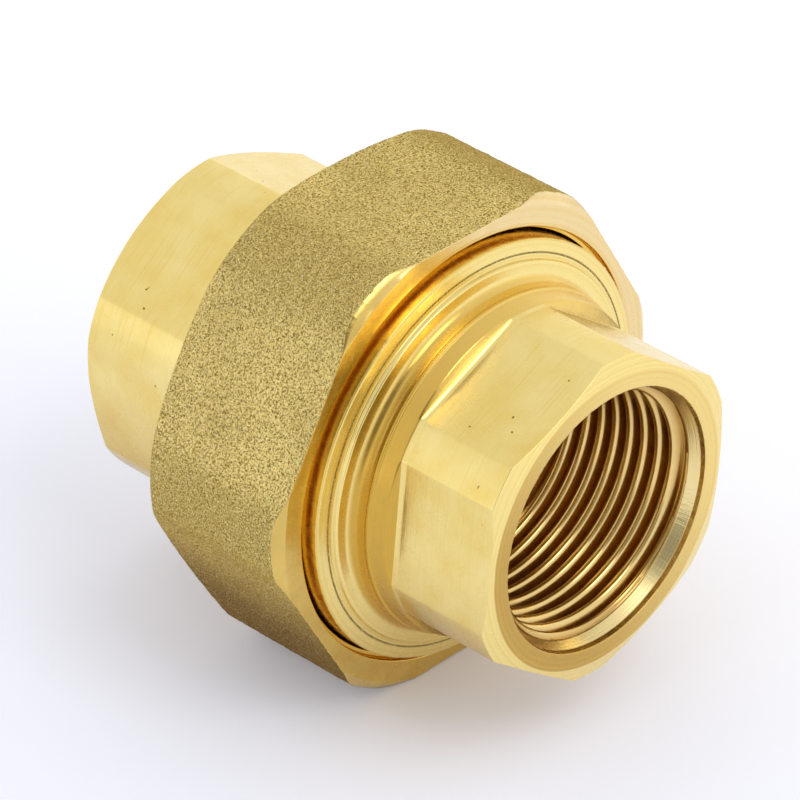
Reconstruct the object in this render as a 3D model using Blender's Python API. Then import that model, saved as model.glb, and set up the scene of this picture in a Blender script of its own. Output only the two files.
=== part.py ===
"""Female-female pipe union: a threaded body end, a tail end, a union nut and a flat gasket.

The union's axis is X. The body end's mouth faces +X and the tail end's mouth faces -X. The nut's
flats are level with Z. The origin is on the axis, half-way between the two mouths.
"""

import math

import bmesh
import bpy

MM = 0.001

# Overall
LENGTH = 53.5 * MM
NUT_WIDTH = 18.0 * MM
NUT_FRONT_INSET = 18.0 * MM
GAP = 0.3 * MM

# Socket thread, G 3/4
SOCKET_MAJOR_RADIUS = 13.22 * MM
SOCKET_MINOR_RADIUS = 12.06 * MM
SOCKET_PITCH = 1.814 * MM
COUNTERBORE_RISE = 0.1 * MM
COUNTERBORE_DEPTH = 1.9 * MM
MOUTH_CHAMFER = 0.25 * MM
BORE_STEP = 0.66 * MM
BORE_LAND = 3.95 * MM
BORE_EDGE = 0.4 * MM

# Threads' shape, in shares of a pitch. The round faces have SIDES columns.
SIDES = 48
CREST_SHARE = 8 / SIDES
FLANK_SHARE = 16 / SIDES
ROWS_PER_PITCH = 4
HALF_COLUMN = 0.5 / SIDES
LEAD_IN = 1.1 * MM
SHARP_ANGLE = math.radians(25)

# Wrench flats of the two ends
BODY_WALL = 2.43 * MM
BODY_FLATS_TURN = 24.2
TAIL_WALL = 2.68 * MM
TAIL_FLATS_TURN = 38.0
CORNER_RISE = 1.35 * MM
END_FACE_WIDTH = 2.13 * MM
BODY_CHAMFER_LENGTH = 0.65 * MM
TAIL_CHAMFER_LENGTH = 1.5 * MM

# Tail collar and gasket
COLLAR_RISE = 1.6 * MM
COLLAR_THICKNESS = 1.9 * MM
COLLAR_EDGE = 0.3 * MM
TAIL_NECK_LENGTH = 0.8 * MM
GASKET_THICKNESS = 1.5 * MM
GASKET_RIM = 0.6 * MM

# Union thread, G 1 1/4
UNION_THREAD_HEIGHT = 1.48 * MM
UNION_PITCH = 2.309 * MM
UNION_THREAD_PLAY = 0.2 * MM
COLLAR_CLEARANCE = 0.525 * MM
RELIEF_CUT = 0.275 * MM
RELIEF_LENGTH = 1.3 * MM

# Shoulder of the body end
NECK_TAPER = 0.45 * MM
NECK_LENGTH = 1.85 * MM
NECK_BAND_LENGTH = 1.15 * MM
NECK_BAND_RISE = 0.19 * MM
FILLET_RADIUS = 0.95 * MM
FILLET_STEPS = 4
STEP_INSET = 1.9 * MM
STEP_HEIGHT = 0.55 * MM
STEP_TAPER = 0.12 * MM
FLANGE_RISE = 0.545 * MM
FLANGE_PROUD = 1.35 * MM
FLANGE_THICKNESS = 3.1 * MM
FLANGE_EDGE = 0.25 * MM

# Union nut
NUT_WALL = 1.3 * MM
NUT_FLATS_TURN = 0.0
NUT_CORNER_RISE = 2.05 * MM
NUT_FRONT_CHAMFER_LENGTH = 0.8 * MM
NUT_FRONT_CHAMFER_RISE = 0.65 * MM
NUT_BACK_CHAMFER_LENGTH = 1.25 * MM
NUT_BACK_CHAMFER_RISE = 2.5 * MM
NUT_MOUTH_CLEARANCE = 0.7 * MM
FLANGE_BACK_CLEARANCE = 0.45 * MM
NUT_RELIEF_CLEARANCE = 0.3 * MM
LIP_THICKNESS = 2.65 * MM
LIP_EDGE = 0.4 * MM

# Radii and widths that follow from the sizes above, from the pipe thread outwards
BORE_RADIUS = SOCKET_MINOR_RADIUS - BORE_STEP
COUNTERBORE_RADIUS = SOCKET_MAJOR_RADIUS + COUNTERBORE_RISE
END_FACE_RADIUS = COUNTERBORE_RADIUS + END_FACE_WIDTH
BODY_FLATS = 2 * (COUNTERBORE_RADIUS + BODY_WALL)
BODY_CORNER_RADIUS = BODY_FLATS / 2 + CORNER_RISE
TAIL_FLATS = 2 * (COUNTERBORE_RADIUS + TAIL_WALL)
TAIL_CORNER_RADIUS = TAIL_FLATS / 2 + CORNER_RISE
COLLAR_RADIUS = TAIL_CORNER_RADIUS + COLLAR_RISE
UNION_MINOR_RADIUS = COLLAR_RADIUS + COLLAR_CLEARANCE
UNION_MAJOR_RADIUS = UNION_MINOR_RADIUS + UNION_THREAD_HEIGHT
RELIEF_RADIUS = UNION_MINOR_RADIUS - RELIEF_CUT
NECK_ROOT_RADIUS = BODY_CORNER_RADIUS + NECK_TAPER
FLANGE_RADIUS = UNION_MAJOR_RADIUS + FLANGE_RISE
STEP_RADIUS = FLANGE_RADIUS - STEP_INSET
NUT_MOUTH_RADIUS = FLANGE_RADIUS + NUT_MOUTH_CLEARANCE
NUT_FLATS = 2 * (NUT_MOUTH_RADIUS + NUT_WALL)
NUT_CORNER_RADIUS = NUT_FLATS / 2 + NUT_CORNER_RISE
TOOL_REACH = 1.5 * NUT_FLATS

# Places along X that follow
BODY_MOUTH_X = LENGTH / 2
TAIL_MOUTH_X = -LENGTH / 2
NUT_FRONT_X = BODY_MOUTH_X - NUT_FRONT_INSET
NUT_BACK_X = NUT_FRONT_X - NUT_WIDTH
LIP_FACE_X = NUT_BACK_X + LIP_THICKNESS
COLLAR_BACK_X = LIP_FACE_X + GAP
COLLAR_FRONT_X = COLLAR_BACK_X + COLLAR_THICKNESS
GASKET_BACK_X = COLLAR_FRONT_X + GAP
GASKET_FRONT_X = GASKET_BACK_X + GASKET_THICKNESS
BODY_SEAT_X = GASKET_FRONT_X + GAP
FLANGE_FRONT_X = NUT_FRONT_X + FLANGE_PROUD
FLANGE_BACK_X = FLANGE_FRONT_X - FLANGE_THICKNESS
NUT_MOUTH_END_X = FLANGE_BACK_X - FLANGE_BACK_CLEARANCE
STEP_X = FLANGE_FRONT_X + STEP_HEIGHT
BODY_FLATS_END_X = STEP_X + FILLET_RADIUS + NECK_BAND_LENGTH + NECK_LENGTH
TAIL_FLATS_END_X = NUT_BACK_X - TAIL_NECK_LENGTH
SOCKET_DEPTH = min(COLLAR_FRONT_X - TAIL_MOUTH_X, BODY_MOUTH_X - BODY_SEAT_X) - BORE_LAND


def clear_scene():
    for old in list(bpy.data.objects):
        bpy.data.objects.remove(old, do_unlink=True)


def make_material(name, color, roughness, metallic):
    material = bpy.data.materials.new(name)
    material.use_nodes = True
    shader = material.node_tree.nodes["Principled BSDF"]
    shader.inputs["Base Color"].default_value = (*color, 1.0)
    shader.inputs["Roughness"].default_value = roughness
    shader.inputs["Metallic"].default_value = metallic
    return material


def column_angle(column):
    return 2 * math.pi * column / SIDES


def on_circle(x, radius, angle):
    return (x, radius * math.cos(angle), radius * math.sin(angle))


class Lathe:
    """A closed round solid about X, made from rings and stretches of right-hand thread."""

    def __init__(self):
        self.mesh = bmesh.new()
        self.first = None
        self.last = None

    def circle(self, x, radius):
        return [self.mesh.verts.new(on_circle(x, radius, column_angle(j))) for j in range(SIDES)]

    def join(self, ring):
        for j in range(SIDES):
            k = (j + 1) % SIDES
            self.mesh.faces.new((self.last[j], self.last[k], ring[k], ring[j]))

    def ring(self, x, radius):
        ring = self.circle(x, radius)
        if self.first is None:
            self.first = ring
        else:
            self.join(ring)
        self.last = ring

    def rings(self, outline):
        for x, radius in outline:
            self.ring(x, radius)

    def thread(self, to_x, end_radius, radius_at, pitch):
        """Screws from the last ring to a new ring at to_x. Rows follow the helix and stop at the rings."""
        start = self.last
        end = self.circle(to_x, end_radius)
        from_x = start[0].co.x
        low, high = (start, end) if to_x > from_x else (end, start)
        low_x, high_x = min(from_x, to_x), max(from_x, to_x)
        first_row = (math.floor(low_x / pitch) - 2) * ROWS_PER_PITCH
        last_row = (math.ceil(high_x / pitch) + 2) * ROWS_PER_PITCH
        made = {}

        def vertex(row, column):
            x, level = thread_row(row, pitch)
            x += pitch * column / SIDES
            slot = column % SIDES
            if x <= low_x:
                return low[slot]
            if x >= high_x:
                return high[slot]
            row_here = row + ROWS_PER_PITCH if column == SIDES else row
            key = (row_here, slot)
            if key not in made:
                made[key] = self.mesh.verts.new(on_circle(x, radius_at(x, level), column_angle(slot)))
            return made[key]

        for row in range(first_row, last_row):
            for j in range(SIDES):
                loop = [vertex(row, j), vertex(row, j + 1), vertex(row + 1, j + 1), vertex(row + 1, j)]
                corners = list(dict.fromkeys(loop))
                if len(corners) > 2:
                    self.mesh.faces.new(corners)
        self.last = end

    def finish(self, name, material):
        self.join(self.first)
        bmesh.ops.recalc_face_normals(self.mesh, faces=self.mesh.faces)
        data = bpy.data.meshes.new(name)
        self.mesh.to_mesh(data)
        self.mesh.free()
        data.shade_smooth()
        data.set_sharp_from_angle(angle=SHARP_ANGLE)
        data.materials.append(material)
        piece = bpy.data.objects.new(name, data)
        bpy.context.scene.collection.objects.link(piece)
        return piece


def thread_row(row, pitch):
    """Where a row starts along X, and its level: 0 in the root, 1 on the crest."""
    turn, step = divmod(row, ROWS_PER_PITCH)
    crest = CREST_SHARE / 2
    places = (-crest, crest, crest + FLANK_SHARE, 1 - crest - FLANK_SHARE)
    return (turn + places[step] + HALF_COLUMN) * pitch, (1, 1, 0, 0)[step]


def between(x, from_x, from_radius, to_x, to_radius):
    """The radius of a cone at x, held at its end values outside the cone."""
    share = (x - from_x) / (to_x - from_x)
    return from_radius + (to_radius - from_radius) * min(max(share, 0.0), 1.0)


def socket_radius(mouth_x, inward):
    """Internal socket thread: it opens in a cone at the counterbore and runs out at its inner end."""
    start_x = mouth_x + inward * COUNTERBORE_DEPTH
    end_x = mouth_x + inward * SOCKET_DEPTH

    def radius_at(x, level):
        crest_to_bore = SOCKET_MAJOR_RADIUS - SOCKET_MINOR_RADIUS
        radius = SOCKET_MAJOR_RADIUS - crest_to_bore * level
        opening = between(x, start_x, COUNTERBORE_RADIUS, start_x + inward * LEAD_IN, SOCKET_MINOR_RADIUS)
        run_out = between(x, end_x - inward * SOCKET_PITCH, SOCKET_MAJOR_RADIUS, end_x, SOCKET_MINOR_RADIUS)
        return min(max(radius, opening), run_out)

    return radius_at


def cut_socket(lathe, mouth_x, inward):
    """The socket from its inner end to the mouth. inward is -1 where the mouth faces +X."""
    lathe.ring(mouth_x + inward * SOCKET_DEPTH, SOCKET_MINOR_RADIUS)
    thread_end_x = mouth_x + inward * COUNTERBORE_DEPTH
    lathe.thread(thread_end_x, COUNTERBORE_RADIUS, socket_radius(mouth_x, inward), SOCKET_PITCH)
    lathe.ring(mouth_x + inward * MOUTH_CHAMFER, COUNTERBORE_RADIUS)


def end_outline(mouth_x, inward, chamfer_length, corner_radius):
    """The mouth's edge, the flat end face and the chamfer that leads to the corners."""
    return [
        (mouth_x, COUNTERBORE_RADIUS + MOUTH_CHAMFER),
        (mouth_x, END_FACE_RADIUS),
        (mouth_x + inward * chamfer_length, corner_radius),
    ]


def union_radius(x, level):
    """External union thread with a cone at the seat end."""
    radius = UNION_MINOR_RADIUS + (UNION_MAJOR_RADIUS - UNION_MINOR_RADIUS) * level
    cone = between(x, BODY_SEAT_X, RELIEF_RADIUS, BODY_SEAT_X + LEAD_IN, UNION_MAJOR_RADIUS)
    relief_x = FLANGE_BACK_X - RELIEF_LENGTH
    shoulder = between(x, relief_x - LEAD_IN, UNION_MAJOR_RADIUS, relief_x, RELIEF_RADIUS)
    return max(min(radius, cone, shoulder), RELIEF_RADIUS)


def nut_radius(x, level):
    """Internal union thread: the outside thread's form with play, opened in a cone at both ends."""
    radius = UNION_MINOR_RADIUS + (UNION_MAJOR_RADIUS - UNION_MINOR_RADIUS) * level + UNION_THREAD_PLAY
    relief = UNION_MAJOR_RADIUS + NUT_RELIEF_CLEARANCE
    crest = UNION_MINOR_RADIUS + UNION_THREAD_PLAY
    front = between(x, NUT_MOUTH_END_X, relief, NUT_MOUTH_END_X - LEAD_IN, crest)
    back = between(x, BODY_SEAT_X, relief, BODY_SEAT_X + LEAD_IN, crest)
    return max(radius, front, back)


def fillet(foot_x, neck_radius, size):
    """A quarter-round hollow, from the neck down to the face at foot_x that it stands on."""
    turns = [math.pi / 2 * step / FILLET_STEPS for step in range(FILLET_STEPS + 1)]
    across = [(size * (1 - math.sin(turn)), size * (1 - math.cos(turn))) for turn in turns]
    return [(foot_x + out, neck_radius + rise) for out, rise in across]


def flats_tool(name, across, turn_degrees, from_x, to_x):
    """A ring with a hexagonal hole: it leaves six flats on what it cuts."""
    tool = bmesh.new()
    loops = []
    corner = across / math.sqrt(3)
    angles = [math.radians(120 + turn_degrees + 60 * side) for side in range(6)]
    for x, radius in ((from_x, corner), (to_x, corner), (to_x, TOOL_REACH), (from_x, TOOL_REACH)):
        loops.append([tool.verts.new(on_circle(x, radius, angle)) for angle in angles])
    for loop, following in zip(loops, loops[1:] + loops[:1]):
        for side in range(6):
            after = (side + 1) % 6
            tool.faces.new((loop[side], loop[after], following[after], following[side]))
    bmesh.ops.recalc_face_normals(tool, faces=tool.faces)
    data = bpy.data.meshes.new(name)
    tool.to_mesh(data)
    tool.free()
    helper = bpy.data.objects.new(name, data)
    helper.hide_render = True
    helper.display_type = "WIRE"
    bpy.context.scene.collection.objects.link(helper)
    return helper


def cut_flats(piece, tool):
    cut = piece.modifiers.new("flats", "BOOLEAN")
    cut.operation = "DIFFERENCE"
    cut.solver = "EXACT"
    cut.object = tool


def make_body_end(material):
    """Threaded end: socket, wrench flats, neck, stepped flange, union thread and flat seat."""
    lathe = Lathe()
    cut_socket(lathe, BODY_MOUTH_X, -1)
    lathe.rings(end_outline(BODY_MOUTH_X, -1, BODY_CHAMFER_LENGTH, BODY_CORNER_RADIUS))
    lathe.ring(BODY_FLATS_END_X, BODY_CORNER_RADIUS)
    lathe.ring(BODY_FLATS_END_X - NECK_LENGTH, NECK_ROOT_RADIUS)
    lathe.rings(fillet(STEP_X, NECK_ROOT_RADIUS + NECK_BAND_RISE, FILLET_RADIUS))
    lathe.rings(
        [
            (STEP_X, STEP_RADIUS - STEP_TAPER),
            (FLANGE_FRONT_X, STEP_RADIUS),
            (FLANGE_FRONT_X, FLANGE_RADIUS - FLANGE_EDGE),
            (FLANGE_FRONT_X - FLANGE_EDGE, FLANGE_RADIUS),
            (FLANGE_BACK_X + FLANGE_EDGE, FLANGE_RADIUS),
            (FLANGE_BACK_X, FLANGE_RADIUS - FLANGE_EDGE),
            (FLANGE_BACK_X, RELIEF_RADIUS),
            (FLANGE_BACK_X - RELIEF_LENGTH, RELIEF_RADIUS),
        ]
    )
    lathe.thread(BODY_SEAT_X, RELIEF_RADIUS, union_radius, UNION_PITCH)
    lathe.rings([(BODY_SEAT_X, BORE_RADIUS + BORE_EDGE), (BODY_SEAT_X + BORE_EDGE, BORE_RADIUS)])
    lathe.ring(BODY_MOUTH_X - SOCKET_DEPTH - BORE_EDGE, BORE_RADIUS)
    body_end = lathe.finish("body_end", material)
    outside_x = BODY_MOUTH_X + TOOL_REACH
    tool = flats_tool("body_flats_tool", BODY_FLATS, BODY_FLATS_TURN, BODY_FLATS_END_X, outside_x)
    cut_flats(body_end, tool)


def make_tail_end(material):
    """Plain end: collar that the nut's lip pulls on, round neck, wrench flats and socket."""
    lathe = Lathe()
    cut_socket(lathe, TAIL_MOUTH_X, 1)
    lathe.rings(end_outline(TAIL_MOUTH_X, 1, TAIL_CHAMFER_LENGTH, TAIL_CORNER_RADIUS))
    lathe.rings(
        [
            (COLLAR_BACK_X, TAIL_CORNER_RADIUS),
            (COLLAR_BACK_X, COLLAR_RADIUS - COLLAR_EDGE),
            (COLLAR_BACK_X + COLLAR_EDGE, COLLAR_RADIUS),
            (COLLAR_FRONT_X - COLLAR_EDGE, COLLAR_RADIUS),
            (COLLAR_FRONT_X, COLLAR_RADIUS - COLLAR_EDGE),
            (COLLAR_FRONT_X, BORE_RADIUS + BORE_EDGE),
            (COLLAR_FRONT_X - BORE_EDGE, BORE_RADIUS),
            (TAIL_MOUTH_X + SOCKET_DEPTH + BORE_EDGE, BORE_RADIUS),
        ]
    )
    tail_end = lathe.finish("tail_end", material)
    outside_x = TAIL_MOUTH_X - TOOL_REACH
    tool = flats_tool("tail_flats_tool", TAIL_FLATS, TAIL_FLATS_TURN, outside_x, TAIL_FLATS_END_X)
    cut_flats(tail_end, tool)


def make_union_nut(material):
    """Hexagon nut: open threaded mouth towards the body end, lip round the tail end's neck."""
    relief_radius = UNION_MAJOR_RADIUS + NUT_RELIEF_CLEARANCE
    lip_radius = TAIL_CORNER_RADIUS + GAP
    lathe = Lathe()
    lathe.rings([(NUT_MOUTH_END_X, NUT_MOUTH_RADIUS), (NUT_MOUTH_END_X, relief_radius)])
    lathe.thread(BODY_SEAT_X, relief_radius, nut_radius, UNION_PITCH)
    lathe.rings(
        [
            (LIP_FACE_X, relief_radius),
            (LIP_FACE_X, lip_radius + LIP_EDGE),
            (LIP_FACE_X - LIP_EDGE, lip_radius),
            (NUT_BACK_X + LIP_EDGE, lip_radius),
            (NUT_BACK_X, lip_radius + LIP_EDGE),
            (NUT_BACK_X, NUT_CORNER_RADIUS - NUT_BACK_CHAMFER_RISE),
            (NUT_BACK_X + NUT_BACK_CHAMFER_LENGTH, NUT_CORNER_RADIUS),
            (NUT_FRONT_X - NUT_FRONT_CHAMFER_LENGTH, NUT_CORNER_RADIUS),
            (NUT_FRONT_X, NUT_CORNER_RADIUS - NUT_FRONT_CHAMFER_RISE),
            (NUT_FRONT_X, NUT_MOUTH_RADIUS),
        ]
    )
    union_nut = lathe.finish("union_nut", material)
    from_x, to_x = NUT_BACK_X - TOOL_REACH, NUT_FRONT_X + TOOL_REACH
    tool = flats_tool("nut_flats_tool", NUT_FLATS, NUT_FLATS_TURN, from_x, to_x)
    cut_flats(union_nut, tool)


def make_gasket(material):
    """Flat ring between the tail end's collar and the body end's seat."""
    inner = BORE_RADIUS + GASKET_RIM
    outer = RELIEF_RADIUS - GASKET_RIM
    lathe = Lathe()
    lathe.rings([(GASKET_FRONT_X, inner), (GASKET_FRONT_X, outer)])
    lathe.rings([(GASKET_BACK_X, outer), (GASKET_BACK_X, inner)])
    lathe.finish("flat_gasket", material)


def main():
    clear_scene()
    bright_brass = make_material("bright_brass", (0.80, 0.58, 0.24), 0.22, 1.0)
    milled_brass = make_material("milled_brass", (0.78, 0.57, 0.25), 0.28, 1.0)
    cast_brass = make_material("cast_brass", (0.62, 0.46, 0.20), 0.5, 1.0)
    fibre = make_material("gasket_fibre", (0.30, 0.09, 0.05), 0.8, 0.0)
    make_body_end(bright_brass)
    make_tail_end(milled_brass)
    make_union_nut(cast_brass)
    make_gasket(fibre)


main()
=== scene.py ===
"""Looks of a brass pipe union: body end, tail end, union nut and flat gasket on a pale floor.

Shapes are made in millimetres and turned into metres when a piece's mesh is made. The union's axis
is X, and an angle about it goes from +Y to +Z.
"""

import math

import bpy
import numpy as np
from mathutils import Matrix, Vector


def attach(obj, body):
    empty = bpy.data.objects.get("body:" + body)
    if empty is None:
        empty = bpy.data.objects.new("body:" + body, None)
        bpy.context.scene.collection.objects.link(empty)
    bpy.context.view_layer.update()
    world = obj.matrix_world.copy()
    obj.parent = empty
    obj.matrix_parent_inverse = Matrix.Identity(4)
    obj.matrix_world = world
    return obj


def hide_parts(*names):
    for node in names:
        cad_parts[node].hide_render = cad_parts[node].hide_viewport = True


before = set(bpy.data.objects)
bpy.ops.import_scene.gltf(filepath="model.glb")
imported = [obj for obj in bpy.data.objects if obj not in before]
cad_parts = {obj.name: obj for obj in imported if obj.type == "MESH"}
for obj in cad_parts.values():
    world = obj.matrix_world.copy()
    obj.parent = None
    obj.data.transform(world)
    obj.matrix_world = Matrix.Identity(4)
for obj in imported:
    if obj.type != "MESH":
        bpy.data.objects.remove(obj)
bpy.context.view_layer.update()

MM = 0.001
TURN = 2 * math.pi

# Zones of a piece, which are its material slots: turned on a lathe, milled, cut as the socket's
# thread, left as cast, and bored as a band inside the mouth
TURNED, MILLED, THREAD, CAST, BAND = range(5)


# ---------------------------------------------------------------- shapes

# A rounding reaches at most this share of the way to the next corner. It has rings at these shares
# of its bend, and one beyond each of its ends, at this many times its reach.
MOST_ROUNDING = 0.3
BEND_SHARES = (0.0, 0.35, 0.65, 1.0)
BEYOND_BEND = 1.5

# A thread's rows stay clear of the rings at its ends by this share of their spacing.
THREAD_CLEARANCE = 0.3


def noise_field(shape, steps, finest, coarsest, seed):
    """Noise of unit deviation on a grid that wraps round, with detail between two sizes in mm."""
    white = np.random.default_rng(seed).standard_normal(shape)
    across = np.fft.fftfreq(shape[0], steps[0])[:, None]
    around = np.fft.fftfreq(shape[1], steps[1])[None, :]
    detail = np.hypot(across, around)
    keep = np.exp(-((detail * finest) ** 2)) - np.exp(-((detail * coarsest) ** 2))
    field = np.fft.ifft2(np.fft.fft2(white) * keep).real
    return field / field.std()


def noise_line(count, finest, coarsest, seed):
    """Noise of unit deviation round a ring of columns, with detail between two sizes in columns."""
    return noise_field((1, count), (1, 1), finest, coarsest, seed)[0]


def clamp_share(x, start, end):
    """How far x is from start to end, from 0 to 1."""
    return np.clip((x - start) / (end - start), 0, 1)


class Solid:
    """A closed solid about X, made ring by ring."""

    def __init__(self, angles):
        self.angles = np.asarray(angles)
        self.points = []
        self.faces = []
        self.zones = []
        self.size = 0
        self.first = None
        self.last = None

    def add_points(self, x, radius, angles):
        x, radius, angles = np.broadcast_arrays(x, radius, angles)
        self.points.append(np.column_stack([x, radius * np.cos(angles), radius * np.sin(angles)]))
        made = np.arange(self.size, self.size + len(angles))
        self.size += len(angles)
        return made

    def add_faces(self, quads, zone):
        """Faces from rows of four points. A triangle's fourth point is -1."""
        self.faces.append(quads)
        self.zones.append(np.full(len(quads), zone))

    def join(self, ring, zone):
        quads = [self.last, np.roll(self.last, -1), np.roll(ring, -1), ring]
        self.add_faces(np.column_stack(quads), zone)
        self.last = ring

    def ring(self, x, radius, zone=TURNED):
        """A ring, and the faces from the last one to it."""
        ring = self.add_points(x, radius, self.angles)
        if self.first is None:
            self.first = self.last = ring
        else:
            self.join(ring, zone)

    def close(self):
        self.join(self.first, TURNED)

    def profile(self, corners):
        """Rings along corners, each (x, radius, rounding, zone after it, rings after it).

        x and radius may vary round the piece.
        """
        level = np.zeros(len(self.angles))
        places = [np.column_stack([level + x, level + radius]) for x, radius, *_ in corners]
        for k, (here, corner) in enumerate(zip(places, corners)):
            rounding, zone, between = corner[2:]
            zone_before = corners[max(k - 1, 0)][3]
            start = here
            if 0 < k < len(corners) - 1 and rounding:
                back, ahead = places[k - 1] - here, places[k + 1] - here
                back_length = np.linalg.norm(back, axis=1)[:, None]
                ahead_length = np.linalg.norm(ahead, axis=1)[:, None]
                room = MOST_ROUNDING * np.minimum(back_length, ahead_length)
                reach = np.minimum(rounding, room)
                back, ahead = back / back_length, ahead / ahead_length
                self.ring(*(here + BEYOND_BEND * reach * back).T, zone_before)
                for share in BEND_SHARES:
                    bend = (1 - share) ** 2 * back + share**2 * ahead
                    self.ring(*(here + reach * bend).T, zone_before if share < 0.5 else zone)
                start = here + BEYOND_BEND * reach * ahead
                self.ring(*start.T, zone)
            else:
                self.ring(*here.T, zone_before)
            if k + 1 < len(corners):
                for step in range(1, between + 1):
                    share = step / (between + 1)
                    self.ring(*(start + share * (places[k + 1] - start)).T, zone)

    def thread(self, to_x, end_radius, radius_at, pitch, rows, zone=THREAD):
        """Right-hand thread from the last ring to a new one at to_x, with rows of points a turn.

        Its rows follow the helix and end at the rings. radius_at takes x and the height of the
        wave there, from 0 to 1.
        """
        from_x = self.points[-1][0, 0]
        start = self.last
        end = self.add_points(to_x, end_radius, self.angles)
        low_ring, high_ring = (start, end) if to_x > from_x else (end, start)
        margin = THREAD_CLEARANCE * pitch / rows
        low_x, high_x = min(from_x, to_x) + margin, max(from_x, to_x) - margin
        first_turn, last_turn = math.floor(low_x / pitch) - 2, math.ceil(high_x / pitch) + 2
        row = np.arange(first_turn * rows, last_turn * rows)
        x = (row[:, None] / rows + self.angles[None, :] / TURN) * pitch
        level = np.broadcast_to(0.5 + 0.5 * np.cos(TURN * row / rows)[:, None], x.shape)
        angles = np.broadcast_to(self.angles, x.shape)
        inside = (x > low_x) & (x < high_x)
        index = np.where(x <= low_x, low_ring[None, :], high_ring[None, :])
        radius = radius_at(x[inside], level[inside])
        index[inside] = self.add_points(x[inside], radius, angles[inside])
        # A row ends one pitch further on, where the row of the next turn starts.
        grid = np.column_stack([index[:-rows], index[rows:, 0]])
        quads = np.stack([grid[:-1, :-1], grid[:-1, 1:], grid[1:, 1:], grid[1:, :-1]], -1)
        quads = quads.reshape(-1, 4)
        left_shut, right_shut = quads[:, 0] == quads[:, 3], quads[:, 1] == quads[:, 2]
        quads[left_shut, 3] = -1
        only_right = right_shut & ~left_shut
        quads[only_right] = np.insert(quads[only_right][:, [0, 1, 3]], 3, -1, axis=1)
        self.add_faces(quads[~(left_shut & right_shut)], zone)
        self.last = end

    def recolumn(self, angles, x, radius):
        """Goes on with a ring of a quarter as many columns, or of four times as many."""
        before = self.last
        self.angles = np.asarray(angles)
        ring = self.add_points(x, radius, self.angles)
        narrows = len(before) > len(ring)
        fine, near = (before, ring) if narrows else (ring, before)
        far = np.roll(near, -1)
        side = [np.roll(fine, -step)[::4] for step in range(5)]
        none = np.full(len(near), -1)
        for corners in (
            (side[0], side[1], near),
            (side[1], side[2], near),
            (side[2], far, near),
            (side[2], side[3], far),
            (side[3], side[4], far),
        ):
            corners = corners if narrows else corners[::-1]
            self.add_faces(np.column_stack([*corners, none]), TURNED)
        self.last = ring

    def finish(self, name, body, node, slot, materials):
        quads = np.concatenate(self.faces)
        triangle = quads[:, 3] < 0
        counts = np.where(triangle, 3, 4)
        starts = np.concatenate([[0], np.cumsum(counts)[:-1]])
        corners = quads.ravel()[quads.ravel() >= 0]
        points = np.concatenate(self.points) * MM
        a, b, c = (points[quads[:, k]] for k in range(3))
        volume = np.einsum("ij,ij->i", a, np.cross(b, c)).sum()
        whole = ~triangle
        d = points[quads[whole, 3]]
        volume += np.einsum("ij,ij->i", a[whole], np.cross(c[whole], d)).sum()
        mesh = bpy.data.meshes.new(name)
        mesh.vertices.add(len(points))
        mesh.vertices.foreach_set("co", points.astype(np.float32).ravel())
        mesh.loops.add(len(corners))
        mesh.loops.foreach_set("vertex_index", corners.astype(np.int32))
        mesh.polygons.add(len(quads))
        mesh.polygons.foreach_set("loop_start", starts.astype(np.int32))
        zones = np.concatenate(self.zones).astype(np.int32)
        mesh.polygons.foreach_set("material_index", zones)
        mesh.update(calc_edges=True)
        # The rings may have run so that every face looks inwards.
        if volume < 0:
            mesh.flip_normals()
        mesh.shade_smooth()
        mesh.validate()
        for material in materials:
            mesh.materials.append(material)
        piece = bpy.data.objects.new(name, mesh)
        bpy.context.scene.collection.objects.link(piece)
        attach(piece, body)
        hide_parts(node)


# ---------------------------------------------------------------- the two sockets

# Half of the union's length
MOUTH_X = 26.75
BORE_RADIUS = 11.4
END_FACE_RADIUS = 15.2

# A crest_power above 1 makes the crests broader and the roots narrower. Near the mouth the crests
# grow in over lead_in, by sink. At the inner end the roots fill up over run_out, by fall.
SOCKET = {
    "major": 13.22,
    "minor": 12.06,
    "pitch": 1.814,
    "depth": 18.4,
    "rows": 12,
    "crest_power": 1.5,
    "lead_in": 0.8,
    "sink": 1.1,
    "run_out": 1.6,
    "fall": 1.16,
}

# A cone that opens from inner, at depth, to radius, at cone_start. Its edge is edge_rise wider at
# edge_depth, and face_rise wider at the end face.
COUNTERBORE = {
    "radius": 13.42,
    "inner": 12.85,
    "depth": 1.75,
    "cone_start": 0.55,
    "edge_depth": 0.06,
    "edge_rise": 0.1,
    "face_rise": 0.2,
}
BURR_HEIGHT = 0.012
FACE_EDGE_WAVE = 0.05

# The wrench flats of each end: width across them, the cylinder that trims their corners, the turn
# of the first one in degrees, the chamfer's length at a corner, and where they end
BODY_FLATS = {"across": 31.5, "corner": 17.1, "turn": 114.2, "chamfer": 0.65, "end": 14.6}
TAIL_FLATS = {"across": 32.0, "corner": 17.35, "turn": 128.0, "chamfer": 1.5, "end": -10.05}
FLAT_COLUMNS = 44
CORNER_COLUMNS = 16
EDGE_CLEARANCE = math.radians(0.12)


def hexagon_angles(turn, half_flat):
    """Columns that keep clear of the six flats' edges, so that each edge is crisp. In radians."""
    angles = []
    for side in range(6):
        middle = turn + side * TURN / 6
        edge, next_edge = middle + half_flat, middle + TURN / 6 - half_flat
        for start, end, columns in (
            (middle - half_flat, edge, FLAT_COLUMNS),
            (edge, next_edge, CORNER_COLUMNS),
        ):
            angles.extend(np.linspace(start + EDGE_CLEARANCE, end - EDGE_CLEARANCE, columns))
    return np.array(angles)


def flats_radius(angles, turn, across, corner):
    """The radius of a hexagon whose corners are turned to a cylinder."""
    from_middle = (angles - turn + TURN / 12) % (TURN / 6) - TURN / 12
    return np.minimum(across / 2 / np.cos(from_middle), corner)


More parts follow.
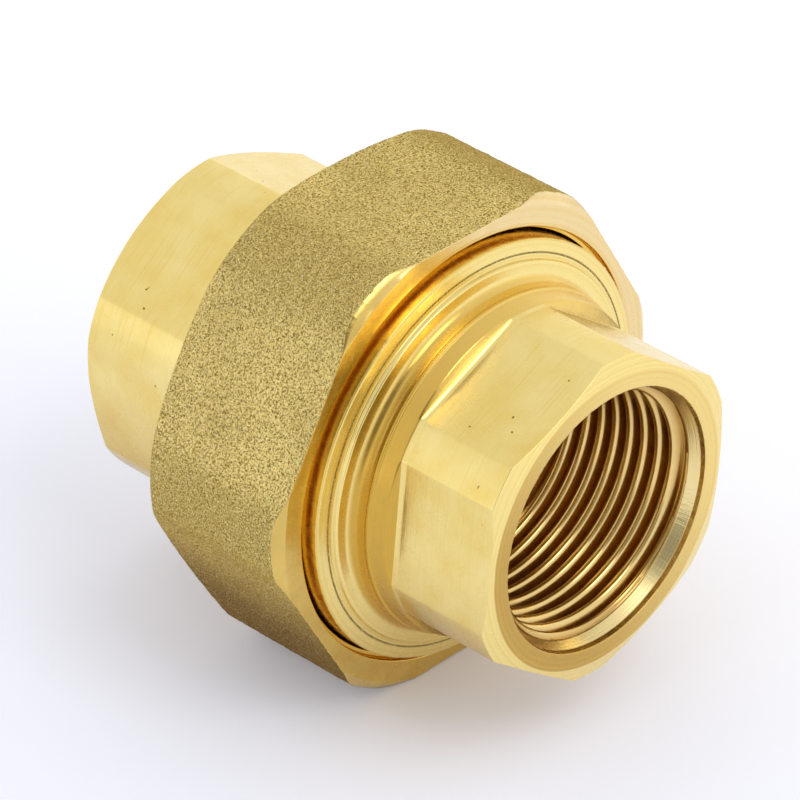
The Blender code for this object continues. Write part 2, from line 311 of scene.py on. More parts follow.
def socket_thread_radius(mouth_x, inward):
    start = mouth_x + inward * COUNTERBORE["depth"]
    end = mouth_x + inward * SOCKET["depth"]
    height = SOCKET["major"] - SOCKET["minor"]

    def radius_at(x, level):
        radius = SOCKET["major"] - height * (1 - (1 - level) ** SOCKET["crest_power"])
        lead_in = clamp_share(x, start, start + inward * SOCKET["lead_in"])
        run_out = clamp_share(x, end - inward * SOCKET["run_out"], end)
        least = COUNTERBORE["inner"] - SOCKET["sink"] * lead_in
        most = SOCKET["major"] - SOCKET["fall"] * run_out
        return np.minimum(np.maximum(radius, least), most)

    return radius_at


def make_socket(flats, inward, seed):
    """A solid from its socket's inner end to its wrench flats' foot.

    inward is -1 where the mouth faces +X.
    """
    mouth_x = -inward * MOUTH_X
    turn, across, corner = math.radians(flats["turn"]), flats["across"], flats["corner"]
    angles = hexagon_angles(turn, math.acos(across / 2 / corner))
    flat = flats_radius(angles, turn, across, corner)
    solid = Solid(angles)
    solid.ring(mouth_x + inward * SOCKET["depth"], SOCKET["minor"], THREAD)
    thread_end = mouth_x + inward * COUNTERBORE["depth"]
    radius_at = socket_thread_radius(mouth_x, inward)
    solid.thread(thread_end, COUNTERBORE["inner"], radius_at, SOCKET["pitch"], SOCKET["rows"])
    burr = BURR_HEIGHT * noise_line(len(angles), 1.5, 12, seed)
    face_edge = END_FACE_RADIUS + FACE_EDGE_WAVE * noise_line(len(angles), 10, 80, seed + 1)
    share = (flat - END_FACE_RADIUS) / (corner - END_FACE_RADIUS)
    chamfer_x = mouth_x + inward * flats["chamfer"] * share
    cone_x = mouth_x + inward * COUNTERBORE["cone_start"]
    edge_x = mouth_x + inward * COUNTERBORE["edge_depth"]
    edge_radius = COUNTERBORE["radius"] + COUNTERBORE["edge_rise"] + burr
    face_radius = COUNTERBORE["radius"] + COUNTERBORE["face_rise"] + 2 * burr
    solid.profile(
        [
            (thread_end - inward * 0.05, COUNTERBORE["inner"], 0, BAND, 6),
            (cone_x, COUNTERBORE["radius"], 0.05, TURNED, 2),
            (edge_x, edge_radius, 0.03, TURNED, 0),
            (mouth_x, face_radius, 0.03, TURNED, 3),
            (mouth_x, face_edge, 0.12, TURNED, 1),
            (chamfer_x, flat, 0.05, MILLED, 14),
            (flats["end"], flat, 0.07, TURNED, 1),
        ]
    )
    return solid


# ---------------------------------------------------------------- pieces

# The thread between body end and nut. Its ends sink to the relief, by rise, over the cone at the
# seat and the shoulder at the flange.
UNION = {
    "major": 20.955,
    "minor": 19.475,
    "pitch": 2.309,
    "rows": 10,
    "relief": 19.2,
    "rise": 1.755,
    "seat": -2.3,
    "cone_end": -1.0,
    "shoulder": 4.6,
    "end": 5.7,
}
# The hollow between the body end's neck and its flange: where it starts, and how far it goes
FILLET = {"x": 10.65, "radius": 17.66, "length": 0.95, "height": 1.02}
FILLET_ANGLES = np.linspace(0.12, 1.5, 10)


def union_thread_radius(x, level):
    thread = UNION["minor"] + (UNION["major"] - UNION["minor"]) * np.minimum(1.1 * level, 1)
    cone = UNION["relief"] + UNION["rise"] * clamp_share(x, UNION["seat"], UNION["cone_end"])
    shoulder = UNION["relief"] + UNION["rise"] * clamp_share(x, UNION["end"], UNION["shoulder"])
    return np.maximum(np.minimum(np.minimum(thread, cone), shoulder), UNION["relief"])


def make_body_end(materials):
    solid = make_socket(BODY_FLATS, inward=-1, seed=3)
    count = len(solid.angles)
    nick = 0.018 * noise_line(count, 1.0, 8, 11)
    wave = 0.02 * noise_line(count, 20, 120, 12)
    fillet = [
        (
            FILLET["x"] + FILLET["length"] * (1 - math.sin(angle)),
            FILLET["radius"] + FILLET["height"] * (1 - math.cos(angle)),
            0,
            TURNED,
            0,
        )
        for angle in FILLET_ANGLES
    ]
    solid.profile(
        [
            # Neck and the band at its foot
            (14.57, BODY_FLATS["corner"] + 0.02, 0.03, TURNED, 5),
            (12.85, 17.5, 0.03, TURNED, 0),
            (12.75, 17.68, 0.04, TURNED, 0),
            (12.5, 17.7, 0.04, TURNED, 0),
            (12.35, 17.6, 0, TURNED, 2),
            *fillet,
            # Step, domed ring and rim of the flange
            (10.62, 19.46 + wave, 0.12, TURNED, 1),
            (10.12, 19.62, 0.1, TURNED, 3),
            (10.05, 20.4, 0.4, TURNED, 3),
            (9.93, 21.3 + nick, 0.07, TURNED, 0),
            (9.8, 21.48 + 0.5 * nick, 0.1, TURNED, 4),
            (7.25, 21.5, 0.08, TURNED, 0),
            (7.0, 21.25, 0.06, TURNED, 2),
            # Undercut behind the flange
            (7.0, 19.3, 0.08, TURNED, 0),
            (6.9, UNION["relief"], 0, TURNED, 1),
            (UNION["end"], UNION["relief"], 0, TURNED, 0),
        ]
    )
    solid.thread(
        UNION["seat"], UNION["relief"], union_thread_radius, UNION["pitch"], UNION["rows"]
    )
    solid.profile(
        [
            # Seat and bore
            (UNION["seat"], 18.9, 0, TURNED, 3),
            (UNION["seat"], BORE_RADIUS + 0.4, 0.08, TURNED, 0),
            (-1.9, BORE_RADIUS, 0.08, TURNED, 4),
            (8.0, BORE_RADIUS, 0.08, TURNED, 0),
        ]
    )
    solid.close()
    solid.finish("body_end_brass", "body_end", "body_end", "machined_brass", materials)


def make_tail_end(materials):
    solid = make_socket(TAIL_FLATS, inward=1, seed=23)
    solid.profile(
        [
            # Neck
            (-10.02, TAIL_FLATS["corner"] - 0.005, 0, TURNED, 6),
            (-6.3, TAIL_FLATS["corner"], 0.06, TURNED, 1),
            # Collar
            (-6.3, 18.65, 0.05, TURNED, 0),
            (-6.0, 18.95, 0.08, TURNED, 1),
            (-4.7, 18.95, 0.08, TURNED, 0),
            (-4.4, 18.65, 0.05, TURNED, 3),
            # Seat and bore
            (-4.4, BORE_RADIUS + 0.4, 0.08, TURNED, 0),
            (-4.8, BORE_RADIUS, 0.08, TURNED, 2),
            (-8.0, BORE_RADIUS, 0.08, TURNED, 0),
        ]
    )
    solid.close()
    solid.finish("tail_end_brass", "tail_end", "tail_end", "milled_brass", materials)


NUT = {
    "flats": 47.0,
    "corner": 25.55,
    "front": 8.75,
    "back": -9.25,
    "mouth": 22.2,
    "lip": 17.65,
    "back_rim": 23.1,
    "thread_root": 21.255,
    "thread_front": 6.55,
    "thread_play": 0.2,
    "thread_height": 1.48,
    "thread_floor": 19.675,
    "thread_rise": 1.58,
}
# The cast outside has more columns than the turned inside, by a factor of 4.
NUT_COLUMNS = 840
NUT_ROWS = 84
NUT_SIDE = 16.5
CORNER_SOFTNESS = 1.3
# The outline starts from equal angles, and this radius turns them into mm for its softening.
OUTLINE_STEPS = 7200
OUTLINE_RADIUS = 24.3
# The front corners are chamfered over this height, by this length.
NUT_CHAMFER = 1.15
NUT_CHAMFER_LENGTH = 0.9
# Grain sinks this deep on average, and at least GRAIN_LEAST.
GRAIN_SINK = 0.07
GRAIN_LEAST = 0.006
COARSE_GRAIN = 0.014
FINE_GRAIN = 0.016


def nut_outline():
    """Angles at equal steps along the nut's section, its radius there, and its girth."""
    fine = np.arange(OUTLINE_STEPS) * TURN / OUTLINE_STEPS
    radius = flats_radius(fine, TURN / 4, NUT["flats"], NUT["corner"])
    step = TURN / OUTLINE_STEPS * OUTLINE_RADIUS
    detail = np.fft.fftfreq(OUTLINE_STEPS, step)
    soft = np.exp(-((detail * CORNER_SOFTNESS * math.pi) ** 2))
    radius = np.minimum(np.fft.ifft(np.fft.fft(radius) * soft).real, radius)
    ends = np.stack([radius * np.cos(fine), radius * np.sin(fine)])
    lengths = np.linalg.norm(np.roll(ends, -1, axis=1) - ends, axis=0)
    along = np.concatenate([[0], np.cumsum(lengths)])
    girth = along[-1]
    wanted = np.arange(NUT_COLUMNS) / NUT_COLUMNS * girth
    whole_turn = np.append(fine, TURN)
    angles = np.interp(wanted, along, whole_turn)
    return angles, np.interp(angles, whole_turn, np.append(radius, radius[0])), girth


def nut_thread_radius(x, level):
    thread = UNION["minor"] + NUT["thread_play"] + NUT["thread_height"] * level
    near_end = NUT["thread_floor"] + NUT["thread_rise"] * clamp_share(x, 5.45, 6.55)
    far_end = NUT["thread_floor"] + NUT["thread_rise"] * clamp_share(x, -1.2, -2.3)
    return np.maximum(thread, np.maximum(near_end, far_end))


def make_union_nut(materials):
    angles, flat, girth = nut_outline()
    solid = Solid(angles[::4])
    steps = (NUT_SIDE / NUT_ROWS, girth / NUT_COLUMNS)
    coarse = noise_field((NUT_ROWS, NUT_COLUMNS), steps, 1.2, 6.0, 41)
    pits = noise_field((NUT_ROWS, NUT_COLUMNS), steps, 0.28, 0.75, 42)
    grain = -GRAIN_SINK + COARSE_GRAIN * coarse + FINE_GRAIN * np.clip(pits, -2.5, 2.0)
    grain = np.minimum(grain, -GRAIN_LEAST)
    wave = 0.03 * noise_line(NUT_COLUMNS, 20, 200, 43)
    front, back, mouth, lip = NUT["front"], NUT["back"], NUT["mouth"], NUT["lip"]
    mouth_edge = mouth + 0.06
    face_radius = NUT["corner"] - NUT_CHAMFER

    def front_x(radius):
        return front - NUT_CHAMFER_LENGTH * np.clip((radius - face_radius) / NUT_CHAMFER, 0, 2)

    def back_x(radius):
        height = NUT["corner"] - NUT["back_rim"]
        return back + 0.15 + 1.15 * np.clip((radius - NUT["back_rim"]) / height, 0, 2) ** 1.6

    # Mouth and turned front face
    first, final = flat + grain[0], flat + grain[-1]
    solid.ring(front - 0.4, mouth)
    solid.recolumn(angles, front - 0.07, mouth)
    solid.ring(front, mouth_edge + 0.3 * wave)
    face_end = np.minimum(face_radius + wave, first - 0.05)
    for share in (0.05, 0.5, 0.95, 1.0):
        solid.ring(front, mouth_edge + share * (face_end - mouth_edge))
    for share in (0.04, 0.5, 0.96):
        radius = face_end + share * (first - face_end)
        solid.ring(np.minimum(front_x(radius), front - 0.02 * share), radius)

    # Cast flats, then the back's rim and face
    top, bottom = np.minimum(front_x(first), front - 0.04), back_x(final)
    for row in range(NUT_ROWS):
        share = (row + 0.5) / NUT_ROWS
        solid.ring(top + share * (bottom - top), flat + grain[row], CAST)
    rim = np.minimum(NUT["back_rim"] + 0.02 * coarse[5], final - 0.3)
    for share in (0.1, 0.3, 0.5, 0.7, 0.9):
        radius = final + share * (rim - final) + 0.02 * pits[int(9 * share)] * (1 - share)
        solid.ring(back_x(radius) - 0.1 * share, radius, CAST)
    for share in (0.0, 0.25, 0.5, 0.75, 1.0):
        radius = rim * (1 - share) + share * (lip + 0.6) - 0.05
        solid.ring(back + 0.01 + 0.015 * np.abs(pits[int(40 + 9 * share)]), radius, CAST)

    # Lip, thread and the step in the mouth
    solid.ring(back + 0.03, lip + 0.4)
    solid.recolumn(angles[::4], back + 0.15, lip + 0.2)
    solid.profile(
        [
            (back + 0.35, lip, 0, TURNED, 2),
            (-7.0, lip, 0.05, TURNED, 0),
            (-6.6, lip + 0.4, 0.05, TURNED, 2),
            (-6.6, NUT["thread_root"], 0.08, TURNED, 2),
            (UNION["seat"], NUT["thread_root"], 0, TURNED, 0),
        ]
    )
    solid.thread(
        NUT["thread_front"], NUT["thread_root"], nut_thread_radius, UNION["pitch"], UNION["rows"]
    )
    solid.profile(
        [
            (6.6, 21.75, 0.05, TURNED, 2),
            (front - 0.95, 21.8, 0.05, TURNED, 0),
            (front - 0.9, mouth - 0.05, 0.05, TURNED, 2),
            (front - 0.6, mouth, 0, TURNED, 0),
        ]
    )
    solid.close()
    solid.finish("union_nut_brass", "union_nut", "union_nut", "cast_brass", materials)


GASKET = {"inner": 12.0, "outer": 18.6, "front": -2.6, "back": -4.1, "columns": 144}


def make_gasket(materials):
    columns = GASKET["columns"]
    solid = Solid(np.arange(columns) * TURN / columns)
    wave = 0.015 * noise_line(columns, 2, 20, 51)
    inner, outer, front, back = (GASKET[key] for key in ("inner", "outer", "front", "back"))
    middle = (inner + outer) / 2
    corners = [(front, outer), (back, outer), (back, inner), (front, inner)]
    solid.profile(
        [
            (front, middle, 0, TURNED, 0),
            *[(x, radius + wave, 0.15, TURNED, 3) for x, radius in corners],
            (front, middle - 0.5, 0, TURNED, 0),
        ]
    )
    solid.close()
    solid.finish("gasket_ring", "gasket", "flat_gasket", "gasket_fibre", materials)


# ---------------------------------------------------------------- materials

# The reach of a colour mask in mm: along the axis or up, and outwards for the flange and nut, for
# the two ends and for the nut's corners
ALONG = (-25, 25)
OUTWARDS = (0, 25)
END_OUTWARDS = (0, 20)
CORNER_OUTWARDS = (0, 27.78)

BRASS = (0.87, 0.655, 0.195)
DEEP_BRASS = (0.76, 0.50, 0.10)
PALE_BRASS = (0.92, 0.74, 0.28)
TURNED_BRASS = (0.66, 0.45, 0.12)
NECK_PAINTED_SHADING = ((0.64, 0.39, 0.065), (0.84, 0.58, 0.15))
FACE_PAINTED_SHADING = ((0.57, 0.36, 0.085), (0.87, 0.66, 0.24))
GAP_PAINTED_REFLECTION = (0.90, 0.63, 0.14)
NUT_FACE_PAINTED_HIGHLIGHT = (0.88, 0.69, 0.36)
FLATS_PAINTED_SHADE = (0.55, 0.36, 0.13)
PIT_BROWN = (0.30, 0.18, 0.05)
CREST_PAINTED_HIGHLIGHT = (0.90, 0.69, 0.31)
ROOT_PAINTED_SHADE = (0.33, 0.15, 0.03)
BAND_BRASS = (0.92, 0.74, 0.34)
GRAIN_PIT_SHADE = (0.24, 0.14, 0.015)
GRAIN_TIP_HIGHLIGHT = (1.0, 0.79, 0.27)
GRAIN_PAINTED_GLINTS = (1.0, 0.86, 0.45)
GRAIN_CLOUDS = (0.40, 0.29, 0.08)
GRAIN_CORNERS = (0.36, 0.25, 0.05)
GRAIN_PAINTED_SHADE = (0.24, 0.14, 0.055)
GRAIN_EDGE_TINT = (0.50, 0.38, 0.28, 1.0)
FIBRE_RED = ((0.20, 0.055, 0.035), (0.42, 0.14, 0.09))


class Shading:
    """A metal or fibre surface: a Principled shader and the nodes that feed it."""

    def __init__(self, name, metallic):
        self.material = bpy.data.materials.new(name)
        self.material.use_nodes = True
        self.nodes = self.material.node_tree.nodes
        self.links = self.material.node_tree.links
        self.shader = self.nodes["Principled BSDF"]
        self.shader.inputs["Metallic"].default_value = metallic
        place = self.add("ShaderNodeTexCoord").outputs["Object"]
        in_mm = self.add("ShaderNodeVectorMath", place, (1000, 1000, 1000), operation="MULTIPLY")
        self.place = in_mm.outputs[0]
        parts = self.add("ShaderNodeSeparateXYZ", self.place).outputs
        self.x, self.y, self.z = (parts[axis] for axis in "XYZ")
        squares = [self.maths("MULTIPLY", part, part) for part in (self.y, self.z)]
        self.radius = self.maths("SQRT", self.maths("ADD", *squares))
        self.angle = self.maths("ARCTAN2", self.z, self.y)

    def add(self, kind, *inputs, **settings):
        node = self.nodes.new(kind)
        for key, value in settings.items():
            setattr(node, key, value)
        for socket, value in zip(node.inputs, inputs):
            self.put(socket, value)
        return node

    def put(self, socket, value):
        """Links a node's output to a socket, or sets the socket to a number, vector or colour."""
        if isinstance(value, bpy.types.NodeSocket):
            self.links.new(value, socket)
        elif value is not None:
            short = socket.type == "RGBA" and len(value) == 3
            socket.default_value = (*value, 1.0) if short else value

    def maths(self, operation, a, b=None):
        return self.add("ShaderNodeMath", a, b, operation=operation).outputs[0]

    def vector(self, x, y, z):
        return self.add("ShaderNodeCombineXYZ", x, y, z).outputs[0]

    def scaled(self, value, factor):
        return self.maths("MULTIPLY", value, factor)

    def noise(self, where, scale, detail=3.0, roughness=0.5):
        """Noise from 0 to 1. scale is in features per mm."""
        node = self.add("ShaderNodeTexNoise")
        self.put(node.inputs["Vector"], where)
        self.put(node.inputs["Scale"], scale)
        self.put(node.inputs["Detail"], detail)
        self.put(node.inputs["Roughness"], roughness)
        return node.outputs["Fac"]

    def ramp(self, value, *stops):
        """Colours or grey levels at places along a value, which are from 0 to 1."""
        node = self.add("ShaderNodeValToRGB", value)
        elements = node.color_ramp.elements
        while len(elements) < len(stops):
            elements.new(0.5)
        for element, (place, color) in zip(elements, stops):
            color = (color,) * 3 if isinstance(color, (int, float)) else color
            element.position = place
            element.color = (*color, 1.0)
        return node.outputs[0]

    def mask(self, value, reach, *stops):
        """A ramp whose stops lie at places in mm. reach gives the places of its two ends."""
        low, high = reach
        length = high - low
        share = self.scaled(value, 1 / length)
        if low:
            share = self.maths("ADD", share, -low / length)
        return self.ramp(share, *[((place - low) / length, tone) for place, tone in stops])

    def mix(self, share, a, b):
        node = self.add("ShaderNodeMix", data_type="RGBA")
        for key, value in (("Factor", share), ("A", a), ("B", b)):
            self.put(node.inputs[key], value)
        return next(out for out in node.outputs if out.type == "RGBA")

    def bump(self, height, depth_mm, normal=None):
        node = self.add("ShaderNodeBump")
        node.inputs["Strength"].default_value = 1.0
        node.inputs["Distance"].default_value = depth_mm * MM
        self.put(node.inputs["Height"], height)
        if normal is not None:
            self.put(node.inputs["Normal"], normal)
        return node.outputs[0]

    def finish(self, color, roughness, normal):
        self.put(self.shader.inputs["Base Color"], color)
        self.put(self.shader.inputs["Roughness"], roughness)
        self.put(self.shader.inputs["Normal"], normal)
        return self.material


def turned_brass():
    """Lathe-turned: fine rings about the axis, a few of them deeper, over faint blotches."""
    s = Shading("turned_brass", 1.0)
    lines = s.vector(s.x, s.radius, 0.0)
    fine = s.noise(lines, 14.0, 2.0)
    broad = s.noise(lines, 2.6, 4.0)
    blotch = s.noise(s.place, 0.35, 4.0)
    color = s.mix(s.ramp(blotch, (0.3, 0.0), (0.7, 0.5)), TURNED_BRASS, BRASS)

    # The neck and its hollow are deeper in colour, with painted shade towards -Y and below and
    # painted light towards +Y and above; side runs from the one to the other.
    side = s.maths("ADD", s.scaled(s.y, 0.02), s.scaled(s.z, 0.014))
    side = s.maths("ADD", side, 0.5)
    neck = s.mask(s.x, ALONG, (10.6, 0.0), (10.8, 1.0), (14.75, 1.0), (14.775, 0.0))
    neck_shading = s.ramp(side, (0.3, NECK_PAINTED_SHADING[0]), (0.75, NECK_PAINTED_SHADING[1]))
    color = s.mix(neck, color, neck_shading)
    # The flange's rings are painted paler, a painted highlight.
    rings = s.mask(s.radius, OUTWARDS, (17.875, 0.0), (18.375, 1.0), (21.3, 1.0), (21.475, 0.0))
    flange = s.mask(s.x, ALONG, (9.75, 0.0), (9.85, 1.0), (10.75, 1.0), (10.85, 0.0))
    color = s.mix(s.maths("MULTIPLY", rings, flange), color, PALE_BRASS)

    # The gap's walls are painted orange, a painted reflection of brass on brass.
    gap = s.mask(s.radius, OUTWARDS, (21.375, 0.0), (21.45, 1.0), (22.225, 1.0), (22.3, 0.0))
    color = s.mix(gap, color, GAP_PAINTED_REFLECTION)
    # The nut's front face is paler and pinker towards the top, a painted highlight.
    nut_face = s.mask(s.radius, OUTWARDS, (22.225, 0.0), (22.325, 1.0))
    top_highlight = s.ramp(side, (0.55, 0.0), (0.85, 0.9))
    color = s.mix(s.maths("MULTIPLY", nut_face, top_highlight), color, NUT_FACE_PAINTED_HIGHLIGHT)

    # The end faces are deep in colour below and pale above: painted shade and painted light.
    face = s.mask(s.x, ALONG, (-25.0, 1.0), (-24.0, 0.0), (24.0, 0.0), (24.5, 1.0))
    face_shading = s.ramp(side, (0.25, FACE_PAINTED_SHADING[0]), (0.75, FACE_PAINTED_SHADING[1]))
    color = s.mix(face, color, face_shading)
    # Their chamfer is painted pale, a painted highlight.
    chamfer = s.mask(s.radius, END_OUTWARDS, (15.28, 0.0), (15.36, 1.0))
    color = s.mix(s.maths("MULTIPLY", face, chamfer), color, PALE_BRASS)

    color = s.mix(s.ramp(broad, (0.3, 0.45), (0.5, 0.0)), color, DEEP_BRASS)
    roughness = s.ramp(s.noise(s.place, 0.8, 5.0), (0.3, 0.19), (0.7, 0.31))
    normal = s.bump(fine, 0.004)
    normal = s.bump(broad, 0.008, normal)
    return s.finish(color, roughness, normal)


def milled_brass():
    """Milled flats: soft mottling, faint lines across the axis, a few pits, painted shade
    underneath.
    """
    s = Shading("milled_brass_flats", 1.0)
    lines = s.noise(s.vector(s.scaled(s.x, 6.0), s.scaled(s.radius, 0.4), 0.0), 1.5, 3.0)
    drag = s.noise(s.vector(s.scaled(s.x, 4.0), s.scaled(s.angle, 2.0), 0.0), 1.0, 3.0)
    blotch = s.noise(s.place, 0.22, 5.0, 0.55)
    mottle = s.noise(s.place, 1.6, 4.0)
    color = s.mix(s.ramp(blotch, (0.35, 0.0), (0.65, 1.0)), BRASS, PALE_BRASS)
    # Painted shade: the flats are darker towards the bottom.
    color = s.mix(s.mask(s.z, ALONG, (-15.0, 0.9), (0.0, 0.0)), color, FLATS_PAINTED_SHADE)
    pits = s.ramp(s.noise(s.place, 1.5, 0.0), (0.845, 0.0), (0.87, 1.0))
    color = s.mix(pits, color, PIT_BROWN)
    color = s.mix(s.ramp(drag, (0.3, 0.28), (0.45, 0.0)), color, DEEP_BRASS)
    roughness = s.ramp(s.noise(s.place, 0.5, 5.0), (0.3, 0.2), (0.7, 0.32))
    normal = s.bump(lines, 0.006)
    normal = s.bump(mottle, 0.008, normal)
    return s.finish(color, roughness, normal)


def thread_brass():
    """Cut threads: pale crests and brown roots as painted highlight and shade, lines along the cut.
    """
    s = Shading("thread_brass", 1.0)
    fine = s.noise(s.vector(s.x, s.radius, 0.0), 12.0, 2.0)
    # Painted highlight on the crests and painted shade down in the roots.
    depth = s.mask(s.radius, END_OUTWARDS, (12.12, CREST_PAINTED_HIGHLIGHT), (13.0, ROOT_PAINTED_SHADE))
    color = s.mix(s.scaled(s.noise(s.place, 0.5, 3.0), 0.5), depth, DEEP_BRASS)
    roughness = s.ramp(s.noise(s.place, 1.0, 4.0), (0.3, 0.17), (0.7, 0.25))
    return s.finish(color, roughness, s.bump(fine, 0.0012))


def cast_brass():
    """Cast and blasted: sandy grain, painted shade in its pits and painted highlight on its tips.
    """
    s = Shading("cast_brass_grain", 1.0)
    # Grain shades itself, so its grazing reflections are dull.
    s.shader.inputs["Specular Tint"].default_value = GRAIN_EDGE_TINT
    grain = s.noise(s.place, 4.6, 1.0, 0.6)
    fine = s.noise(s.place, 8.0, 1.0, 0.7)
    cloud = s.noise(s.place, 0.12, 4.0)
    # The grain's colour paints shade into its pits and highlights onto its tips.
    speck = s.maths("ADD", s.scaled(grain, 0.5), s.scaled(fine, 0.5))
    color = s.mix(s.ramp(speck, (0.37, 0.0), (0.555, 1.0)), GRAIN_PIT_SHADE, GRAIN_TIP_HIGHLIGHT)
    color = s.mix(s.ramp(cloud, (0.35, 0.3), (0.65, 0.0)), color, GRAIN_CLOUDS)
    corner = s.mask(s.radius, CORNER_OUTWARDS, (24.583, 0.0), (25.361, 0.8))
    color = s.mix(s.maths("MULTIPLY", corner, cloud), color, GRAIN_CORNERS)
    # Painted shade: the grain is darker towards the bottom.
    color = s.mix(s.mask(s.z, ALONG, (-15.0, 0.9), (-3.0, 0.0)), color, GRAIN_PAINTED_SHADE)
    # Painted glints on the finest grain.
    color = s.mix(s.ramp(fine, (0.58, 0.0), (0.67, 0.9)), color, GRAIN_PAINTED_GLINTS)
    roughness = s.ramp(grain, (0.3, 0.5), (0.7, 0.28))
    normal = s.bump(fine, 0.09)
    normal = s.bump(grain, 0.24, normal)
    return s.finish(color, roughness, normal)


def band_brass():
    """Bored band inside each mouth: rings from the tool, crossed here and there by its chatter."""
    s = Shading("counterbore_brass", 1.0)
    rings = s.noise(s.vector(s.x, 0.0, 0.0), 8.0, 3.0)
    across = s.vector(s.scaled(s.x, 0.15), s.scaled(s.angle, 14.0), 0.0)
    chatter = s.noise(across, 3.2, 1.0)
    patch = s.noise(s.vector(0.0, s.angle, 0.0), 0.9, 1.0)
    height = s.maths("MULTIPLY", chatter, s.ramp(patch, (0.5, 0.0), (0.6, 1.0)))
    normal = s.bump(rings, 0.012)
    normal = s.bump(height, 0.03, normal)
    return s.finish(BAND_BRASS, 0.24, normal)


def gasket_fibre():
    """Pressed fibre sheet: matt, with short strands."""
    s = Shading("gasket_fibre_red", 0.0)
    fibre = s.noise(s.place, 5.0, 5.0, 0.7)
    color = s.mix(fibre, *FIBRE_RED)
    return s.finish(color, s.ramp(fibre, (0.3, 0.7), (0.7, 0.9)), s.bump(fibre, 0.06))


# ---------------------------------------------------------------- the set

# The floor glows a little, so that shadows stay pale, and its colour and glow whiten away from
# the camera: painted light, brighter at the back.
FLOOR_HEIGHT = -0.02355
FLOOR_HALF = 2.5
FLOOR_LIFT = (-0.0005, 0.0095)
FLOOR_SHADE = (0.83, 0.85, 0.94)
FLOOR_LIGHT = (0.90, 0.90, 0.92)
FLOOR_GLOW = 0.18

# The room's tones at the horizon and high up, and how bright it is where a direction nears its
# dark side, which is behind the camera and gives the brass its deeper bands
WALL_TONES = ((0.0, (1.16, 1.18, 1.26)), (0.75, (0.88, 0.88, 0.91)))
DARK_SIDE = (0.6, -0.66, 0.45)
DARK_TONES = ((0.80, (1.0, 1.0, 1.0)), (0.93, (0.28, 0.28, 0.28)))
KEY_PLACE = (0.5, -0.02, 0.68)
KEY_SIDE = 0.4
KEY_WATTS = 1.2

# The photograph's camera. The centre of the body end's mouth lies that far right of, above and
# ahead of it.
AZIMUTH = math.radians(44.09)
ELEVATION = math.radians(33.63)
FOCAL_PIXELS = 6695.34
FRAME_PIXELS = 800
SENSOR_WIDTH = 36.0
MOUTH_PLACE = (0.01931, -0.01121, 0.6206)


def make_floor():
    mesh = bpy.data.meshes.new("floor")
    corners = [(x * FLOOR_HALF, y * FLOOR_HALF) for x, y in ((-1, -1), (1, -1), (1, 1), (-1, 1))]
    mesh.from_pydata([(x, y, FLOOR_HEIGHT) for x, y in corners], [], [(0, 1, 2, 3)])
    floor = bpy.data.objects.new("floor", mesh)
    bpy.context.scene.collection.objects.link(floor)
    s = Shading("floor_paper", 0.0)
    across = s.maths("ADD", s.scaled(s.x, FLOOR_LIFT[0]), s.scaled(s.y, FLOOR_LIFT[1]))
    tint = s.ramp(s.maths("ADD", across, 0.5), (0.0, FLOOR_SHADE), (1.0, FLOOR_LIGHT))
    s.put(s.shader.inputs["Emission Color"], tint)
    s.shader.inputs["Emission Strength"].default_value = FLOOR_GLOW
    s.shader.inputs["Specular IOR Level"].default_value = 0.2
    fibre = s.noise(s.place, 2.0, 4.0)
    mesh.materials.append(s.finish(tint, 0.75, s.bump(fibre, 0.01)))


def add_world_ramp(nodes, links, value, tones):
    ramp = nodes.new("ShaderNodeValToRGB")
    links.new(value, ramp.inputs[0])
    for element, (level, tone) in zip(ramp.color_ramp.elements, tones):
        element.position, element.color = level, (*tone, 1.0)
    return ramp.outputs[0]


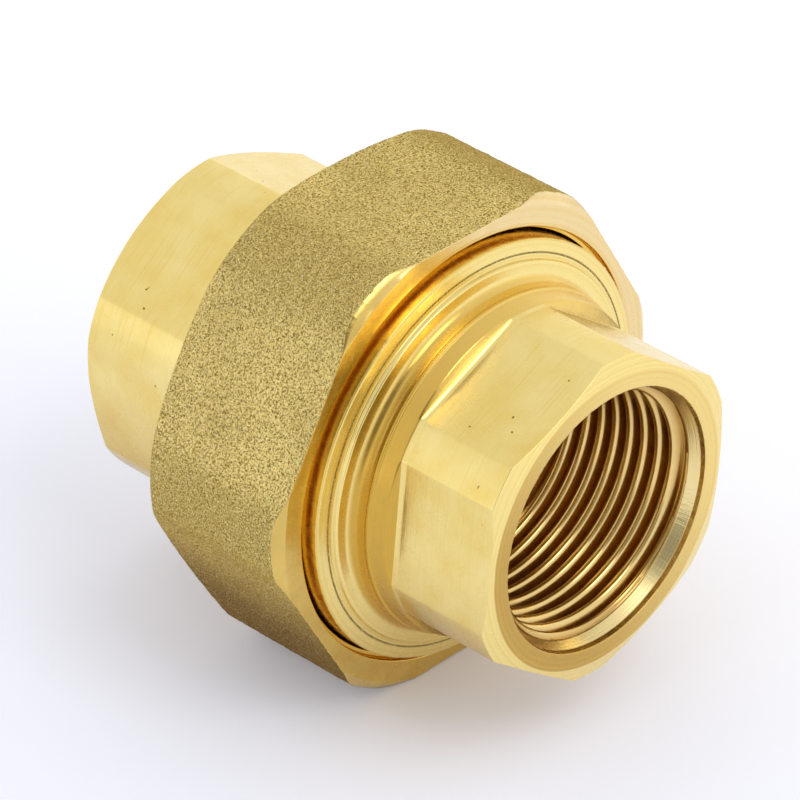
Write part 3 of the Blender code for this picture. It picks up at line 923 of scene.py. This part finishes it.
def make_lights():
    world = bpy.data.worlds.new("studio")
    bpy.context.scene.world = world
    world.use_nodes = True
    nodes, links = world.node_tree.nodes, world.node_tree.links
    background = nodes["Background"]
    background.inputs["Strength"].default_value = 1.0
    place = nodes.new("ShaderNodeTexCoord").outputs["Generated"]
    height = nodes.new("ShaderNodeSeparateXYZ")
    links.new(place, height.inputs[0])
    towards = nodes.new("ShaderNodeVectorMath")
    towards.operation = "DOT_PRODUCT"
    links.new(place, towards.inputs[0])
    towards.inputs[1].default_value = DARK_SIDE
    both = nodes.new("ShaderNodeMix")
    both.data_type, both.blend_type = "RGBA", "MULTIPLY"
    both.inputs["Factor"].default_value = 1.0
    walls = add_world_ramp(nodes, links, height.outputs["Z"], WALL_TONES)
    links.new(walls, both.inputs["A"])
    room = add_world_ramp(nodes, links, towards.outputs["Value"], DARK_TONES)
    links.new(room, both.inputs["B"])
    mixed = next(out for out in both.outputs if out.type == "RGBA")
    links.new(mixed, background.inputs["Color"])

    lamp = bpy.data.lights.new("key", "AREA")
    lamp.shape = "RECTANGLE"
    lamp.size = lamp.size_y = KEY_SIDE
    lamp.energy = KEY_WATTS
    softbox = bpy.data.objects.new("key", lamp)
    bpy.context.scene.collection.objects.link(softbox)
    softbox.location = KEY_PLACE
    softbox.rotation_mode = "QUATERNION"
    softbox.rotation_quaternion = (-Vector(KEY_PLACE)).to_track_quat("-Z", "Y")
    softbox.visible_camera = False


def make_camera():
    data = bpy.data.cameras.new("camera")
    data.sensor_width = SENSOR_WIDTH
    data.lens = FOCAL_PIXELS * SENSOR_WIDTH / FRAME_PIXELS
    data.clip_start, data.clip_end = 0.01, 20.0
    camera = bpy.data.objects.new("camera", data)
    bpy.context.scene.collection.objects.link(camera)
    sin_a, cos_a = math.sin(AZIMUTH), math.cos(AZIMUTH)
    sin_e, cos_e = math.sin(ELEVATION), math.cos(ELEVATION)
    right = Vector((cos_a, sin_a, 0))
    above = Vector((-sin_a * sin_e, cos_a * sin_e, cos_e))
    behind = Vector((sin_a * cos_e, -cos_a * cos_e, sin_e))
    axes = Matrix((right, above, behind)).transposed()
    to_right, to_above, ahead = MOUTH_PLACE
    mouth = Vector((MOUTH_X * MM, 0, 0))
    place = mouth - to_right * right - to_above * above + ahead * behind
    camera.matrix_world = Matrix.Translation(place) @ axes.to_4x4()
    bpy.context.scene.camera = camera


# In the order of the zones
brasses = [turned_brass(), milled_brass(), thread_brass(), cast_brass(), band_brass()]
make_body_end(brasses)
make_tail_end(brasses)
make_union_nut(brasses)
make_gasket([gasket_fibre()])
make_floor()
make_lights()
make_camera()
bpy.context.scene.view_settings.view_transform = "Standard"
# The deep brass in the threads and the gap comes from many reflections, and from the painted
# shade in the thread roots and the painted reflection on the gap's walls.
bpy.context.scene.cycles.max_bounces = 24
bpy.context.scene.cycles.glossy_bounces = 16
